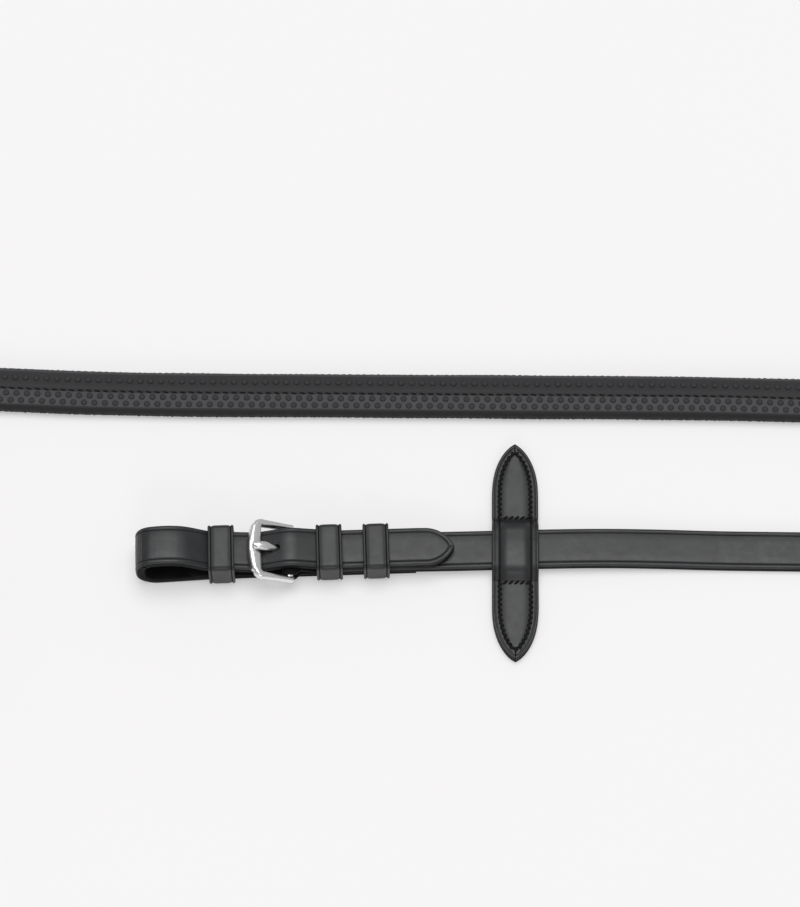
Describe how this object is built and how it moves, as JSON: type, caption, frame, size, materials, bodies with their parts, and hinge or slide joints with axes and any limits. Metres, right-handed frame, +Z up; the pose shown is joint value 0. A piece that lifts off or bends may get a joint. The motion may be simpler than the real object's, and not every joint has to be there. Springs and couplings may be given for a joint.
{
  "type": "reins",
  "caption": "Leather riding reins with rubber grips, buckled bit loops, keepers and rein stops, laid out at one end and wound up at the other.",
  "frame": {"origin": "centre of the pair's box as it lies, on the surface it lies on", "axes": "+Z up; the left rein leaves its bit loop along +X; +Y towards the rein's upper, returning run"},
  "size_m": [0.9252, 0.272, 0.0233],
  "materials": {
    "leather": "waxed",
    "rubber": "matt, pimpled",
    "thread": "waxed thread",
    "steel": "polished"
  },
  "bodies": {
    "straps": {"left_front_strap": "leather", "left_grip_core": "leather", "left_grip_cover": "rubber", "left_grip_seam": "thread", "left_hand_strap": "leather", "left_billet": "leather", "left_loop_tab": "leather", "left_fixed_keeper": "leather", "right_front_strap": "leather", "right_grip_core": "leather", "right_grip_cover": "rubber", "right_grip_seam": "thread", "right_hand_strap": "leather", "right_billet": "leather", "right_loop_tab": "leather", "right_fixed_keeper": "leather", "centre_fixed_keeper": "leather"},
    "left_buckle_frame": {"left_buckle_frame": "steel"},
    "left_buckle_tongue": {"left_buckle_tongue": "steel"},
    "left_loop_keeper": {"left_front_keeper": "leather"},
    "left_loose_keeper": {"left_slide_keeper": "leather"},
    "left_stop": {"left_stop_back": "leather", "left_stop_top": "leather", "left_stop_stitching": "thread"},
    "right_buckle_frame": {"right_buckle_frame": "steel"},
    "right_buckle_tongue": {"right_buckle_tongue": "steel"},
    "right_loop_keeper": {"right_front_keeper": "leather"},
    "right_loose_keeper": {"right_slide_keeper": "leather"},
    "right_stop": {"right_stop_back": "leather", "right_stop_top": "leather", "right_stop_stitching": "thread"},
    "centre_buckle_frame": {"centre_buckle_frame": "steel"},
    "centre_buckle_tongue": {"centre_buckle_tongue": "steel"},
    "centre_loose_keeper": {"centre_slide_keeper": "leather"}
  },
  "joints": [
    {"name": "left_buckle_frame_hinge", "type": "hinge", "parent": "straps", "child": "left_buckle_frame", "pos_m": [0.08849, 0.04504, 0.007], "axis": [0, 1, 0], "range_deg": [0, 4]},
    {"name": "left_buckle_tongue_hinge", "type": "hinge", "parent": "left_buckle_frame", "child": "left_buckle_tongue", "pos_m": [0.08849, 0.04504, 0.007], "axis": [0, 1, 0], "range_deg": [0, 6]},
    {"name": "left_loop_keeper_slide", "type": "slide", "parent": "straps", "child": "left_loop_keeper", "axis": [1, 0, 0], "range_m": [0, 0.003]},
    {"name": "left_loose_keeper_slide", "type": "slide", "parent": "straps", "child": "left_loose_keeper", "axis": [1, 0, 0], "range_m": [-0.007, 0.009]},
    {"name": "left_stop_slide", "type": "slide", "parent": "straps", "child": "left_stop", "axis": [1, 0, 0], "range_m": [-0.003, 0.025]},
    {"name": "right_buckle_frame_hinge", "type": "hinge", "parent": "straps", "child": "right_buckle_frame", "pos_m": [-0.40097, -0.08406, 0.007], "axis": [0.0506, 0.9987, 0], "range_deg": [0, 4]},
    {"name": "right_buckle_tongue_hinge", "type": "hinge", "parent": "right_buckle_frame", "child": "right_buckle_tongue", "pos_m": [-0.40097, -0.08406, 0.007], "axis": [0.0506, 0.9987, 0], "range_deg": [0, 6]},
    {"name": "right_loop_keeper_slide", "type": "slide", "parent": "straps", "child": "right_loop_keeper", "axis": [0.9987, -0.0506, 0], "range_m": [0, 0.003]},
    {"name": "right_loose_keeper_slide", "type": "slide", "parent": "straps", "child": "right_loose_keeper", "axis": [0.9987, -0.0506, 0], "range_m": [-0.007, 0.009]},
    {"name": "right_stop_slide", "type": "slide", "parent": "straps", "child": "right_stop", "axis": [0.9987, -0.0506, 0], "range_m": [-0.003, 0.025]},
    {"name": "centre_buckle_frame_hinge", "type": "hinge", "parent": "straps", "child": "centre_buckle_frame", "pos_m": [-0.09002, -0.01491, 0.01165], "axis": [0, 0, -1], "range_deg": [0, 4]},
    {"name": "centre_buckle_tongue_hinge", "type": "hinge", "parent": "centre_buckle_frame", "child": "centre_buckle_tongue", "pos_m": [-0.09002, -0.01491, 0.01165], "axis": [0, 0, -1], "range_deg": [0, 6]},
    {"name": "centre_loose_keeper_slide", "type": "slide", "parent": "straps", "child": "centre_loose_keeper", "axis": [0.0238, 0.9997, 0], "range_m": [-0.002, 0.002]}
  ]
}
